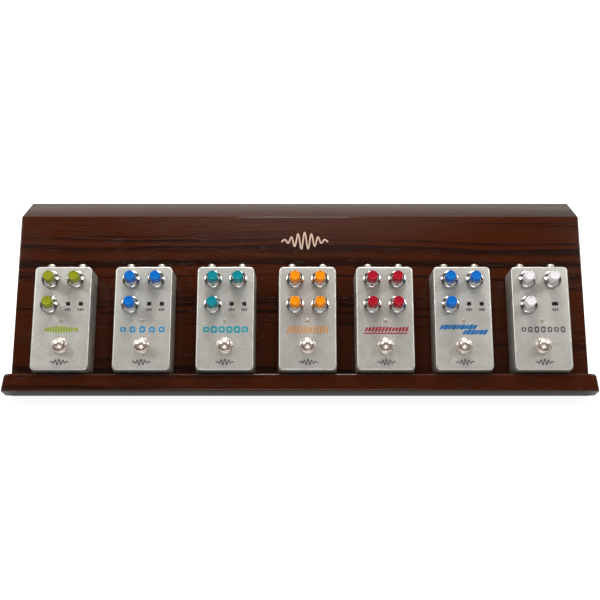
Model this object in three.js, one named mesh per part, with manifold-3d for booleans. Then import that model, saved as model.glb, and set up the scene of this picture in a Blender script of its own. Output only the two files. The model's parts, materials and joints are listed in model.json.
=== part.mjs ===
// Countertop pedalboard: a hollow sloping hardwood stand whose front ledge holds a row of
// seven compact effect pedals, each with turning knobs, a footswitch and slide switches.
// Millimetres, +X right, +Y back, +Z up, origin on the standing surface under the centre.

import * as THREE from 'three';
import { mergeVertices } from 'three/addons/utils/BufferGeometryUtils.js';
import Module from 'manifold-3d';

const wasm = await Module();
wasm.setup();

// ---- driving dimensions ----
const GAP = 0.3;                                   // between pieces that meet
const CASE_WIDTH = 594;
const BOARD = 12;                                  // wood thickness of the stand
const SIDE_BOARD = 15;
const DECK_SLOPE = THREE.MathUtils.degToRad(55);
const DECK_LENGTH = 177;                           // ledge's top face to the deck's upper edge
const TOP_DEPTH = 58;
const FOOT = { radius: 9, height: 2, inset: 30 };

const LEDGE = { width: 600, flare: 2.5, thickness: 18, depth: 26.5, corner: 8, round: 1.5 };

const PEDAL = {
  halfWidth: 30.25,                                // at the open back
  halfLength: 55.75,
  faceHalfWidth: 28.9,
  faceHalfLength: 54.25,
  height: 33,                                      // deck to face
  wall: 2.2,
  clearLedge: 0.5,
  pad: 1.5,
  plate: 1.5,
};
const PEDAL_X = [-242.5, -160, -76, 7.7, 86.5, 165.8, 245.5];
const KNOB_COUNT = [3, 3, 3, 4, 4, 3, 3];
// Each slide switch: its slot's x, its travel each way from the middle, and where it rests.
const TWO_WAY = [[6.3, 1, -1], [19.3, 1, 1]];
const THREE_WAY = [[14.2, 2, 0]];
const SWITCH_LAYOUT = [TWO_WAY, TWO_WAY, TWO_WAY, [], [], TWO_WAY, THREE_WAY];
const CAP_COLOURS = [0x8e9820, 0x0069cd, 0x008c96, 0xff9600, 0xb4102a, 0x0069cd, 0xebe8eb];

const KNOB = { columns: 12.8, firstRow: 40.4, rowStep: 26.9, skirt: 9, neck: 5.6, cap: 5.2, height: 16 };
const KNOB_SHAFT = { radius: 3, clearance: 0.4, depth: 6.5, lift: 0.7 };
const SLIDER = { row: 14.75, width: 2, length: 2.6, rise: 0.9, clearance: 0.35, shoulder: 1.2 };
const FOOTSWITCH = { row: -29.2, plunger: 5, clearance: 0.4, tube: 6.2, nut: 8.6, nutHeight: 3, travel: 3.5 };
const LED = { row: -2.9, radius: 2.1, rise: 0.8 };
const JACK = { offset: 16, height: 14, bushing: 4.7, bore: 3.3, nut: 6.6, nutHeight: 2.4, reach: 6.5 };
const INLET = { flange: 5.6, bore: 2.8, reach: 0.8 };

// ---- solids ----
function toSolid(geometry) {
  const plain = geometry.clone();
  plain.deleteAttribute('normal');
  plain.deleteAttribute('uv');
  const merged = mergeVertices(plain, 1e-4);
  return new wasm.Manifold(new wasm.Mesh({
    numProp: 3,
    vertProperties: new Float32Array(merged.attributes.position.array),
    triVerts: new Uint32Array(merged.index.array),
  }));
}

function toGeometry(solid) {
  const mesh = solid.getMesh();
  const geometry = new THREE.BufferGeometry();
  geometry.setAttribute('position', new THREE.BufferAttribute(mesh.vertProperties, 3));
  geometry.setIndex(new THREE.BufferAttribute(mesh.triVerts, 1));
  geometry.computeVertexNormals();
  return geometry;
}

const join = (first, ...others) => others.reduce((sum, next) => sum.add(next), first);
const cut = (first, ...others) => others.reduce((rest, next) => rest.subtract(next), first);

// A cylinder along +Z from z0 to z1.
function rod(radius, z0, z1, sides = 12, x = 0, y = 0) {
  const geometry = new THREE.CylinderGeometry(radius, radius, z1 - z0, sides);
  geometry.rotateX(Math.PI / 2).translate(x, y, (z0 + z1) / 2);
  return geometry;
}

function block(width, length, z0, z1, x = 0, y = 0) {
  const geometry = new THREE.BoxGeometry(width, length, z1 - z0);
  geometry.translate(x, y, (z0 + z1) / 2);
  return geometry;
}

// A closed body skinned over rounded rectangles {x, y, r, z}, listed from the lowest up.
function roundedLoft(rings, cornerSteps = 2) {
  const points = [];
  const corners = [[1, 1], [-1, 1], [-1, -1], [1, -1]];
  for (const { x, y, r, z } of rings) {
    corners.forEach(([sx, sy], corner) => {
      for (let step = 0; step <= cornerSteps; step += 1) {
        const angle = (corner + step / cornerSteps) * Math.PI / 2;
        points.push(sx * (x - r) + r * Math.cos(angle), sy * (y - r) + r * Math.sin(angle), z);
      }
    });
  }
  const count = 4 * (cornerSteps + 1);
  const top = (rings.length - 1) * count;
  const faces = [];
  for (let ring = 0; ring < rings.length - 1; ring += 1) {
    for (let i = 0; i < count; i += 1) {
      const a = ring * count + i;
      const b = ring * count + (i + 1) % count;
      faces.push(a, b, b + count, a, b + count, a + count);
    }
  }
  for (let i = 1; i < count - 1; i += 1) {
    faces.push(0, i + 1, i, top, top + i, top + i + 1);
  }
  const geometry = new THREE.BufferGeometry();
  geometry.setAttribute('position', new THREE.Float32BufferAttribute(points, 3));
  geometry.setIndex(faces);
  geometry.computeVertexNormals();
  return geometry;
}

// A board whose side profile is the outline [y, z], running the given width along X.
function profileBoard(outline, width) {
  const shape = new THREE.Shape(outline.map(([y, z]) => new THREE.Vector2(y, z)));
  const geometry = new THREE.ExtrudeGeometry(shape, { depth: width, bevelEnabled: false });
  const axes = new THREE.Matrix4().makeBasis(
    new THREE.Vector3(0, 1, 0),
    new THREE.Vector3(0, 0, 1),
    new THREE.Vector3(1, 0, 0),
  );
  return geometry.applyMatrix4(axes).translate(-width / 2, 0, 0);
}

function piece(name, geometry, colour, roughness, metalness) {
  const material = new THREE.MeshStandardMaterial({ color: colour, roughness, metalness });
  const mesh = new THREE.Mesh(geometry, material);
  mesh.name = name;
  return mesh;
}

const wood = (name, geometry) => piece(name, geometry, 0x4a2314, 0.45, 0);

// ---- stand: y and z are measured from the line where the deck meets the ledge's top face ----
const rise = Math.sin(DECK_SLOPE);
const run = Math.cos(DECK_SLOPE);
const topZ = DECK_LENGTH * rise;
const bottomZ = -LEDGE.thickness * rise;
const backY = DECK_LENGTH * run + TOP_DEPTH;

// y of the deck's surface at height z, moved inward by inset.
const slopeY = (z, inset) => z / Math.tan(DECK_SLOPE) + inset / rise;

const inner = BOARD + GAP;
const underTop = topZ - BOARD;

const deckPanel = profileBoard([
  [slopeY(bottomZ, 0), bottomZ],
  [slopeY(bottomZ, BOARD), bottomZ],
  [slopeY(underTop, BOARD), underTop],
  [slopeY(topZ, 0), topZ],
], CASE_WIDTH);

const topPanel = profileBoard([
  [slopeY(underTop, BOARD) + GAP, underTop],
  [backY, underTop],
  [backY, topZ],
  [slopeY(topZ, 0) + GAP, topZ],
], CASE_WIDTH);

const backPanel = profileBoard([
  [backY - BOARD, bottomZ],
  [backY, bottomZ],
  [backY, underTop - GAP],
  [backY - BOARD, underTop - GAP],
], CASE_WIDTH);

const sideOutline = [
  [slopeY(bottomZ, inner), bottomZ],
  [backY - inner, bottomZ],
  [backY - inner, underTop - GAP],
  [slopeY(underTop - GAP, inner), underTop - GAP],
];
const sideShift = (CASE_WIDTH - SIDE_BOARD) / 2;

const floorZ = bottomZ + BOARD;
const bottomWidth = CASE_WIDTH - 2 * (SIDE_BOARD + GAP);
const bottomBoard = profileBoard([
  [slopeY(bottomZ, inner), bottomZ],
  [backY - inner, bottomZ],
  [backY - inner, floorZ],
  [slopeY(floorZ, inner), floorZ],
], bottomWidth);

const feet = [-1, 1].flatMap((side) => {
  const x = side * (bottomWidth / 2 - FOOT.inset);
  const ends = [slopeY(bottomZ, inner) + FOOT.inset, backY - inner - FOOT.inset];
  return ends.map((y) => toSolid(rod(FOOT.radius, bottomZ - FOOT.height, bottomZ + 1, 12, x, y)));
});
const bottomPanel = toGeometry(join(toSolid(bottomBoard), ...feet));

// The ledge is drawn in plan, x across and y out from the deck, then stood on the slope.
// Each end flares out towards the underside.
function ledgeGeometry() {
  const half = LEDGE.width / 2 - LEDGE.round;
  const depth = LEDGE.depth - LEDGE.round;
  const corner = LEDGE.corner - LEDGE.round;
  const back = GAP + LEDGE.round;
  const shape = new THREE.Shape();
  shape.moveTo(-half, back);
  shape.lineTo(half, back);
  shape.lineTo(half, depth - corner);
  shape.absarc(half - corner, depth - corner, corner, 0, Math.PI / 2, false);
  shape.absarc(-half + corner, depth - corner, corner, Math.PI / 2, Math.PI, false);
  shape.lineTo(-half, back);
  const geometry = new THREE.ExtrudeGeometry(shape, {
    depth: LEDGE.thickness - 2 * LEDGE.round,
    bevelThickness: LEDGE.round,
    bevelSize: LEDGE.round,
    bevelSegments: 1,
    curveSegments: 4,
  });
  geometry.rotateX(Math.PI / 2).translate(0, -LEDGE.round, 0);
  const place = geometry.attributes.position;
  for (let i = 0; i < place.count; i += 1) {
    const drop = -place.getY(i) / LEDGE.thickness;
    place.setX(i, place.getX(i) * (1 + drop * LEDGE.flare / (LEDGE.width / 2)));
  }
  geometry.computeVertexNormals();
  return geometry;
}

// ---- pedals: x across, y up the slope from the pedal's middle, z out from the deck ----
const plateTop = GAP + PEDAL.pad + PEDAL.plate;
const shellFoot = plateTop + GAP;
const faceUnder = PEDAL.height - PEDAL.wall;

function knobPlaces(count) {
  const places = [];
  for (let i = 0; i < count; i += 1) {
    const x = i % 2 === 0 ? -KNOB.columns : KNOB.columns;
    places.push([x, KNOB.firstRow - Math.floor(i / 2) * KNOB.rowStep]);
  }
  return places;
}

function shellSolid() {
  const { halfWidth, halfLength, faceHalfWidth, faceHalfLength, height, wall } = PEDAL;
  const outer = roundedLoft([
    { x: halfWidth, y: halfLength, r: 5, z: shellFoot },
    { x: faceHalfWidth + 0.25, y: faceHalfLength + 0.25, r: 4.6, z: height - 1.8 },
    { x: faceHalfWidth, y: faceHalfLength, r: 4.4, z: height - 0.6 },
    { x: faceHalfWidth - 0.9, y: faceHalfLength - 0.9, r: 3.8, z: height },
  ]);
  const hollow = roundedLoft([
    { x: halfWidth - wall, y: halfLength - wall, r: 3, z: shellFoot - 1 },
    { x: faceHalfWidth - wall, y: faceHalfLength - wall, r: 2.6, z: faceUnder },
  ]);
  return cut(toSolid(outer), toSolid(hollow));
}

// A fitting that passes through the end wall, drawn along +Z and turned to point up the slope.
function endFitting(radius, from, to, sides, x) {
  const geometry = new THREE.CylinderGeometry(radius, radius, to - from, sides);
  geometry.translate(x, (from + to) / 2, JACK.height);
  return toSolid(geometry);
}

function enclosure(knobCount, sliders) {
  const endWall = PEDAL.halfLength - PEDAL.wall;
  const wallFace = PEDAL.halfLength - 0.45;
  const tip = PEDAL.halfLength + JACK.reach;
  const added = [];
  const removed = [];

  for (const x of [-JACK.offset, JACK.offset]) {
    added.push(endFitting(JACK.bushing, endWall - 4, tip, 12, x));
    added.push(endFitting(JACK.nut, endWall, wallFace + JACK.nutHeight, 6, x));
    removed.push(endFitting(JACK.bore, endWall - 6, tip + 1, 10, x));
  }
  added.push(endFitting(INLET.flange, endWall, wallFace + INLET.reach, 12, 0));
  removed.push(endFitting(INLET.bore, endWall - 2, tip, 8, 0));

  const { row, plunger, clearance, tube, nut, nutHeight } = FOOTSWITCH;
  const bushingTop = PEDAL.height + nutHeight + 1;
  added.push(toSolid(rod(tube, faceUnder - 4, bushingTop, 12, 0, row)));
  added.push(toSolid(rod(nut, faceUnder, PEDAL.height + nutHeight, 12, 0, row)));
  removed.push(toSolid(rod(plunger + clearance, faceUnder - 6, bushingTop + 1, 12, 0, row)));

  added.push(toSolid(rod(LED.radius, faceUnder, PEDAL.height + LED.rise, 8, 0, LED.row)));

  const shaftHole = KNOB_SHAFT.radius + KNOB_SHAFT.clearance;
  for (const [x, y] of knobPlaces(knobCount)) {
    removed.push(toSolid(rod(shaftHole, faceUnder - 1, PEDAL.height + 1, 10, x, y)));
  }
  for (const [x, travel] of sliders) {
    const width = SLIDER.width + 2 * (travel + SLIDER.clearance);
    const length = SLIDER.length + 2 * SLIDER.clearance;
    removed.push(toSolid(block(width, length, faceUnder - 1, PEDAL.height + 1, x, SLIDER.row)));
  }
  return toGeometry(cut(join(shellSolid(), ...added), ...removed));
}

// Steel back plate with its bonded rubber pad.
function basePlate() {
  const { halfWidth: x, halfLength: y, pad } = PEDAL;
  return roundedLoft([
    { x: x - 3, y: y - 3, r: 3, z: GAP },
    { x: x - 3, y: y - 3, r: 3, z: GAP + pad },
    { x, y, r: 5, z: GAP + pad },
    { x, y, r: 5, z: plateTop },
  ]);
}

// Knob about its own axis, z = 0 at the pedal's face.
function knobGeometry() {
  const { skirt, neck, cap, height } = KNOB;
  const { radius, depth, lift } = KNOB_SHAFT;
  const profile = [
    [0, -depth],
    [radius, -depth],
    [radius, lift],
    [skirt - 0.4, lift],
    [skirt, lift + 0.8],
    [skirt - 0.6, lift + 2.2],
    [neck, lift + 3.4],
    [cap, height - 0.9],
    [cap - 0.8, height],
    [0, height],
  ];
  const points = profile.map(([r, z]) => new THREE.Vector2(r, z));
  return new THREE.LatheGeometry(points, 12).rotateX(Math.PI / 2);
}

// Footswitch plunger about its own axis, z = 0 at the pedal's face, with a retaining flange
// below the bushing and a domed tip above it.
function plungerGeometry() {
  const { plunger, nutHeight, tube } = FOOTSWITCH;
  const flangeTop = -PEDAL.wall - 4 - GAP;
  const tip = nutHeight + 6.6;
  const profile = [
    [0, flangeTop - 1.5],
    [tube, flangeTop - 1.5],
    [tube, flangeTop],
    [plunger, flangeTop],
    [plunger, tip - 1.7],
    [plunger * 0.8, tip - 0.6],
    [plunger * 0.42, tip - 0.1],
    [0, tip],
  ];
  const points = profile.map(([r, z]) => new THREE.Vector2(r, z));
  return new THREE.LatheGeometry(points, 12).rotateX(Math.PI / 2);
}

// Slide switch lever about its slot, z = 0 at the pedal's face: a tip through the slot and a
// shoulder under the face that keeps it in.
function leverGeometry() {
  const { width, length, rise: tip, shoulder } = SLIDER;
  const under = -PEDAL.wall - GAP;
  const stem = block(width, length, under - 0.5, tip);
  const base = block(width + 2 * shoulder, length + 2 * shoulder, under - 1.2, under);
  return toGeometry(join(toSolid(stem), toSolid(base)));
}

function pedal(index) {
  const label = `pedal${index + 1}`;
  const group = new THREE.Group();
  const shell = enclosure(KNOB_COUNT[index], SWITCH_LAYOUT[index]);
  group.add(piece(`${label}_enclosure`, shell, 0xb2b3ad, 0.4, 0.6));
  group.add(piece(`${label}_base_plate`, basePlate(), 0x2a2a2b, 0.7, 0.2));

  knobPlaces(KNOB_COUNT[index]).forEach(([x, y], i) => {
    const knob = piece(`${label}_knob${i + 1}`, knobGeometry(), CAP_COLOURS[index], 0.4, 0);
    knob.position.set(x, y, PEDAL.height);
    group.add(knob);
  });

  const plunger = piece(`${label}_footswitch`, plungerGeometry(), 0xd8d0c8, 0.15, 1);
  plunger.position.set(0, FOOTSWITCH.row, PEDAL.height);
  group.add(plunger);

  SWITCH_LAYOUT[index].forEach(([x, , rest], i) => {
    const lever = piece(`${label}_slider${i + 1}`, leverGeometry(), 0x151414, 0.5, 0);
    lever.position.set(x + rest, SLIDER.row, PEDAL.height);
    group.add(lever);
  });

  const middle = PEDAL.clearLedge + PEDAL.halfLength;
  group.position.set(PEDAL_X[index], middle, 0);
  return group;
}

// ---- assembly ----
const pedalboard = new THREE.Group();
const stand = new THREE.Group();
pedalboard.add(stand);

stand.add(wood('deck_panel', deckPanel));
stand.add(wood('top_panel', topPanel));
stand.add(wood('back_panel', backPanel));
stand.add(wood('bottom_panel', bottomPanel));
for (const [name, side] of [['left_side_panel', -1], ['right_side_panel', 1]]) {
  const panel = wood(name, profileBoard(sideOutline, SIDE_BOARD));
  panel.position.x = side * sideShift;
  stand.add(panel);
}

const slope = new THREE.Group();
slope.rotation.x = DECK_SLOPE;
stand.add(slope);
slope.add(wood('front_ledge', ledgeGeometry()));
PEDAL_X.forEach((_, index) => slope.add(pedal(index)));

// Centred over the origin, with the feet on z = 0.
const extent = new THREE.Box3().setFromObject(stand, true);
stand.position.set(0, -(extent.min.y + extent.max.y) / 2, -extent.min.z);

export default pedalboard;
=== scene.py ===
import json
import math

import bmesh
import bpy
from mathutils import Matrix, Vector


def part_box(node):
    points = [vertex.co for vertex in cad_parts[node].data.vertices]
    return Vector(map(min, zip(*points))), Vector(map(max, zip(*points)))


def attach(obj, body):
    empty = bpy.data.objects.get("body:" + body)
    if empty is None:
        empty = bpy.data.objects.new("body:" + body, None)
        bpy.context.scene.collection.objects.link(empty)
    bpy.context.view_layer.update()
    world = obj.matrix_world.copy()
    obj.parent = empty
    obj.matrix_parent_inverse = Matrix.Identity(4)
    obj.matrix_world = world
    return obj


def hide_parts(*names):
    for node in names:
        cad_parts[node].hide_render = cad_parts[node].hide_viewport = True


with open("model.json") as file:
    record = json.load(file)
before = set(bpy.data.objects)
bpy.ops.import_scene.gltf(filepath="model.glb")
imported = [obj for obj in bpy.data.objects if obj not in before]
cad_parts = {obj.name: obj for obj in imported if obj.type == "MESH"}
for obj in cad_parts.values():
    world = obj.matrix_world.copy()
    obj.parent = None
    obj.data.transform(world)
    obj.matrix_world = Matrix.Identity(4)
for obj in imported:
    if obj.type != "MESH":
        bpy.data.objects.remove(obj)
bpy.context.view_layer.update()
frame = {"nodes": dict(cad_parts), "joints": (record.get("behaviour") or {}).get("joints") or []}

# ---------------------------------------------------------------- camera
# A long lens straight in front of the board, a little above it and looking slightly down.
camera = bpy.data.objects.new("camera", bpy.data.cameras.new("camera"))
bpy.context.scene.collection.objects.link(camera)
camera.data.sensor_width = 36
camera.data.lens = 74.35
camera.location = (0, -1.2443, 0.5026)
camera.rotation_euler = (math.radians(90 - 18.73), 0, 0)
bpy.context.scene.camera = camera


# ---------------------------------------------------------------- room
# A white studio table between two soft boxes, one at each end, with weaker ones overhead and low
# in front, in a dim room with a bright screen behind the table and a bright ceiling. The camera
# sees only white beyond the table.
def add_node(tree, kind, inputs=None, **settings):
    """Adds a node, sets its properties, and fills its sockets with values or other sockets."""
    node = tree.nodes.new(kind)
    for name, value in settings.items():
        setattr(node, name, value)
    for name, value in (inputs or {}).items():
        if isinstance(value, bpy.types.NodeSocket):
            tree.links.new(value, node.inputs[name])
        else:
            node.inputs[name].default_value = value
    return node


def new_finish(name):
    """A material with its tree and its plain shader, which is already joined to the output."""
    material = bpy.data.materials.new(name)
    material.use_nodes = True
    return material, material.node_tree, material.node_tree.nodes["Principled BSDF"]


def make_room():
    bpy.context.scene.view_settings.view_transform = "Standard"
    world = bpy.data.worlds.new("white_room")
    bpy.context.scene.world = world
    world.use_nodes = True
    tree = world.node_tree
    tree.nodes.clear()
    ray = add_node(tree, "ShaderNodeTexCoord").outputs["Generated"]
    way = add_node(tree, "ShaderNodeSeparateXYZ", {"Vector": ray}).outputs
    screen = add_node(tree, "ShaderNodeMapRange", {
        "Value": way["Y"], "From Min": 0.35, "From Max": 0.75, "To Min": 0.09, "To Max": 0.42,
    }, interpolation_type="SMOOTHSTEP").outputs[0]
    ceiling = add_node(tree, "ShaderNodeMapRange", {
        "Value": way["Z"], "From Min": 0.86, "From Max": 0.94, "To Min": 0.0, "To Max": 1.3,
    }, interpolation_type="SMOOTHSTEP").outputs[0]
    both = add_node(tree, "ShaderNodeMath", {0: screen, 1: ceiling}, operation="ADD").outputs[0]
    seen = add_node(tree, "ShaderNodeLightPath").outputs["Is Camera Ray"]
    white_behind = add_node(tree, "ShaderNodeMath", {0: seen, 1: 1.2}, operation="MULTIPLY").outputs[0]
    glow = add_node(tree, "ShaderNodeMath", {0: both, 1: white_behind}, operation="MAXIMUM").outputs[0]
    sky = add_node(tree, "ShaderNodeBackground", {"Color": (1, 0.92, 0.87, 1), "Strength": glow})
    add_node(tree, "ShaderNodeOutputWorld", {"Surface": sky.outputs[0]})

    reach = 7
    table = bpy.data.meshes.new("studio_table")
    corners = [(-reach, -reach, 0), (reach, -reach, 0), (reach, reach, 0), (-reach, reach, 0)]
    table.from_pydata(corners, [], [(0, 1, 2, 3)])
    white, tree, shader = new_finish("white_table")
    shader.inputs["Base Color"].default_value = (0.42, 0.42, 0.42, 1)
    shader.inputs["Roughness"].default_value = 0.7
    shader.inputs["Emission Color"].default_value = (1, 1, 1, 1)
    rays = add_node(tree, "ShaderNodeLightPath").outputs
    seen = add_node(tree, "ShaderNodeMath", {
        0: rays["Is Camera Ray"], 1: 0.92}, operation="MULTIPLY").outputs[0]
    seen_or_mirrored = add_node(tree, "ShaderNodeMath", {
        0: rays["Is Glossy Ray"], 1: 0.2, 2: seen}, operation="MULTIPLY_ADD").outputs[0]
    tree.links.new(seen_or_mirrored, shader.inputs["Emission Strength"])
    table.materials.append(white)
    floor = bpy.data.objects.new("studio_table", table)
    bpy.context.scene.collection.objects.link(floor)

    for spot, size, energy in (((-1.3, -0.3, 1.2), 0.4, 12.5), ((1.3, -0.3, 1.2), 0.4, 12.5),
                               ((0, 0.3, 1.5), 0.4, 13), ((0, -1.9, 0.25), 0.8, 8)):
        light = bpy.data.lights.new("soft_box", "AREA")
        light.size = size
        light.energy = energy
        box = bpy.data.objects.new("soft_box", light)
        box.location = spot
        aim = Vector((0, 0, 0.08)) - box.location
        box.rotation_euler = aim.to_track_quat("-Z", "Y").to_euler()
        bpy.context.scene.collection.objects.link(box)


make_room()


# ---------------------------------------------------------------- wooden stand
# Six boards of dark striped hardwood, mitred along the top front edge, glued into a hollow
# wedge and lacquered. The grain runs from side to side, and from front to back on the ends.
MM = 0.001


def tint(code):
    """The scene colour for a paint maker's hex colour."""
    parts = [int(code[i:i + 2], 16) / 255 for i in (0, 2, 4)]
    return [p / 12.92 if p <= 0.04045 else ((p + 0.055) / 1.055) ** 2.4 for p in parts] + [1]


def new_group(name, inputs, outputs):
    """An empty shader node group with its named sockets, and its input and output nodes."""
    group = bpy.data.node_groups.new(name, "ShaderNodeTree")
    for way, sockets in (("INPUT", inputs), ("OUTPUT", outputs)):
        for label, kind in sockets.items():
            group.interface.new_socket(label, in_out=way, socket_type="NodeSocket" + kind)
    return group, add_node(group, "NodeGroupInput"), add_node(group, "NodeGroupOutput")


def arith(tree, operation, *values):
    return add_node(tree, "ShaderNodeMath", dict(enumerate(values)), operation=operation).outputs[0]


def noise(tree, vector, scale, detail=2.0, roughness=0.5):
    return add_node(tree, "ShaderNodeTexNoise", {
        "Vector": vector, "Scale": scale, "Detail": detail, "Roughness": roughness}).outputs["Fac"]


def stretch(tree, vector, factors):
    return add_node(tree, "ShaderNodeVectorMath", {0: vector, 1: factors}, operation="MULTIPLY").outputs[0]


def blend(tree, factor, first, second, kind="MIX"):
    """A colour mix. Its colour sockets share their names with hidden ones, so they go by index."""
    return add_node(tree, "ShaderNodeMix", {0: factor, 6: first, 7: second},
                    data_type="RGBA", blend_type=kind).outputs[2]


def make_grain_group():
    """Wavy growth stripes, pores and tone for wood whose grain runs along X."""
    group, given, out = new_group(
        "hardwood_grain",
        {"Vector": "Vector", "Dark": "Color", "Middle": "Color", "Light": "Color"},
        {"Colour": "Color", "Height": "Float", "Roughness": "Float"})
    vector = given.outputs["Vector"]
    waves = noise(group, stretch(group, vector, (3.0, 15, 15)), 1, 3, 0.45)
    across = add_node(group, "ShaderNodeVectorMath", {0: vector, 1: (0.01, 0.62, 0.78)},
                      operation="DOT_PRODUCT").outputs["Value"]
    ring = arith(group, "ADD", across, arith(group, "MULTIPLY", waves, 0.03))
    stripes = add_node(group, "ShaderNodeTexNoise", {
        "W": ring, "Scale": 130, "Detail": 4, "Roughness": 0.6}, noise_dimensions="1D").outputs["Fac"]
    threads = noise(group, stretch(group, vector, (12, 800, 800)), 1, 4, 0.7)
    tone = noise(group, stretch(group, vector, (2.4, 34, 34)), 1, 3)
    level = arith(group, "ADD", arith(group, "MULTIPLY", stripes, 0.5), arith(
        group, "ADD", arith(group, "MULTIPLY", threads, 0.2), arith(group, "MULTIPLY", tone, 0.5)))
    level = add_node(group, "ShaderNodeMapRange", {
        "Value": level, "From Min": 0.52, "From Max": 0.68}).outputs[0]
    low = arith(group, "MULTIPLY", level, 2)
    high = arith(group, "SUBTRACT", low, 1)
    for step in (low, high):
        step.node.use_clamp = True
    colour = blend(group, low, given.outputs["Dark"], given.outputs["Middle"])
    colour = blend(group, high, colour, given.outputs["Light"])

    pores = noise(group, stretch(group, vector, (45, 1100, 1100)), 1, 3, 0.6)
    pores = add_node(group, "ShaderNodeMapRange", {
        "Value": pores, "From Min": 0.6, "From Max": 0.7}).outputs[0]
    colour = blend(group, arith(group, "MULTIPLY", pores, 0.55), colour, given.outputs["Dark"])
    feed_out = group.links.new
    feed_out(colour, out.inputs["Colour"])
    feed_out(arith(group, "SUBTRACT", arith(group, "MULTIPLY", threads, 0.4), pores), out.inputs["Height"])
    feed_out(add_node(group, "ShaderNodeMapRange", {
        "Value": arith(group, "SUBTRACT", pores, tone), "From Min": -0.7, "From Max": 0.7,
        "To Min": 0.11, "To Max": 0.2}).outputs[0], out.inputs["Roughness"])
    return group


GRAIN = make_grain_group()


def make_handling_group():
    """Faint patches left by wiping and handling, as a roughness between two values."""
    group, given, out = new_group(
        "handling_marks",
        {"Vector": "Vector", "Scale": "Float", "Smooth": "Float", "Rough": "Float"},
        {"Roughness": "Float"})
    cloud = add_node(group, "ShaderNodeTexNoise", {
        "Vector": given.outputs["Vector"], "Scale": given.outputs["Scale"],
        "Detail": 5, "Roughness": 0.65, "Distortion": 0.4}).outputs["Fac"]
    spread = add_node(group, "ShaderNodeMapRange", {
        "Value": cloud, "From Min": 0.3, "From Max": 0.7,
        "To Min": given.outputs["Smooth"], "To Max": given.outputs["Rough"]}).outputs[0]
    group.links.new(spread, out.inputs["Roughness"])
    return group


HANDLING = make_handling_group()


def use_group(tree, group, inputs):
    return add_node(tree, "ShaderNodeGroup", inputs, node_tree=group).outputs


def handled(tree, scale, smooth, rough):
    """Roughness that wanders between smooth and rough, in patches of 1/scale metres."""
    spot = add_node(tree, "ShaderNodeTexCoord").outputs["Object"]
    return use_group(tree, HANDLING, {
        "Vector": spot, "Scale": scale, "Smooth": smooth, "Rough": rough})["Roughness"]


def bump(tree, shader, height, distance, strength=1.0):
    raised = add_node(tree, "ShaderNodeBump", {
        "Height": height, "Distance": distance, "Strength": strength})
    tree.links.new(raised.outputs["Normal"], shader.inputs["Normal"])


def hardwood(name, turn, dark, middle, light):
    material, tree, shader = new_finish(name)
    spot = add_node(tree, "ShaderNodeTexCoord").outputs["Object"]
    turned_spot = add_node(tree, "ShaderNodeMapping", {"Vector": spot, "Rotation": (0, 0, turn)}).outputs[0]
    grain = use_group(tree, GRAIN, {
        "Vector": turned_spot, "Dark": tint(dark), "Middle": tint(middle), "Light": tint(light)})
    tree.links.new(grain["Colour"], shader.inputs["Base Color"])
    tree.links.new(grain["Roughness"], shader.inputs["Roughness"])
    shader.inputs["Specular IOR Level"].default_value = 0.1
    shader.inputs["Coat Weight"].default_value = 0.3
    shader.inputs["Coat Roughness"].default_value = 0.09
    bump(tree, shader, grain["Height"], 0.00012)
    return material


HARDWOOD = hardwood("lacquered_hardwood", 0, "200d08", "3d1908", "813f0e")
END_BOARD_WOOD = hardwood("lacquered_hardwood_ends", math.radians(90), "200d08", "3a1808", "743a0e")


def finish_piece(name, mesh, body, material=None, sharp=35):
    """Puts a mesh in the scene as a named piece that rides on a body, shaded smooth up to an angle."""
    if material:
        mesh.materials.append(material)
    mesh.name = name
    mesh.polygons.foreach_set("use_smooth", [True] * len(mesh.polygons))
    mesh.set_sharp_from_angle(angle=math.radians(sharp))
    thing = bpy.data.objects.new(name, mesh)
    bpy.context.scene.collection.objects.link(thing)
    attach(thing, body)
    return thing


def from_bmesh(sculpt):
    mesh = bpy.data.meshes.new("shape")
    sculpt.to_mesh(mesh)
    sculpt.free()
    return mesh


def planed(mesh, edge):
    """A board's mesh with its doubles merged, its faces made whole and its edges eased."""
    sculpt = bmesh.new()
    sculpt.from_mesh(mesh)
    bmesh.ops.remove_doubles(sculpt, verts=sculpt.verts, dist=1e-5)
    bmesh.ops.dissolve_limit(sculpt, angle_limit=0.02, verts=sculpt.verts, edges=sculpt.edges)
    bmesh.ops.bevel(sculpt, geom=sculpt.edges[:], offset=edge, segments=3, profile=0.5,
                    affect="EDGES", clamp_overlap=True)
    return from_bmesh(sculpt)


def skin(rings, closed=False):
    """Skins equal rings of points, each anticlockwise as seen from the end that they run to."""
    count = len(rings[0])
    faces = []
    for level in range(len(rings) if closed else len(rings) - 1):
        low = level * count
        high = (level + 1) % len(rings) * count
        faces += [(low + i, low + (i + 1) % count, high + (i + 1) % count, high + i)
                  for i in range(count)]
    if not closed:
        last = (len(rings) - 1) * count
        faces += [tuple(reversed(range(count))), tuple(range(last, last + count))]
    mesh = bpy.data.meshes.new("shape")
    mesh.from_pydata([point for ring in rings for point in ring], [], faces)
    return mesh


def make_stand():
    eased = 1.0 * MM
    for node in ("deck_panel", "top_panel", "back_panel", "left_side_panel", "right_side_panel"):
        board = planed(frame["nodes"][node].data.copy(), eased)
        wood = END_BOARD_WOOD if "side" in node else HARDWOOD
        board.materials.clear()
        thing = finish_piece(node + "_board", board, "board", wood)
        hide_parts(node)

    low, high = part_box("bottom_panel")
    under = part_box("back_panel")[0].z
    lean = (high.z - under) / math.tan(math.radians(55))
    outline = [(low.y, under), (high.y, under), (high.y, high.z), (low.y + lean, high.z)]
    board = planed(skin([[(x, y, z) for y, z in outline] for x in (low.x, high.x)]), eased)
    thing = finish_piece("bottom_panel_board", board, "board", HARDWOOD)
    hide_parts("bottom_panel")


make_stand()


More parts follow.
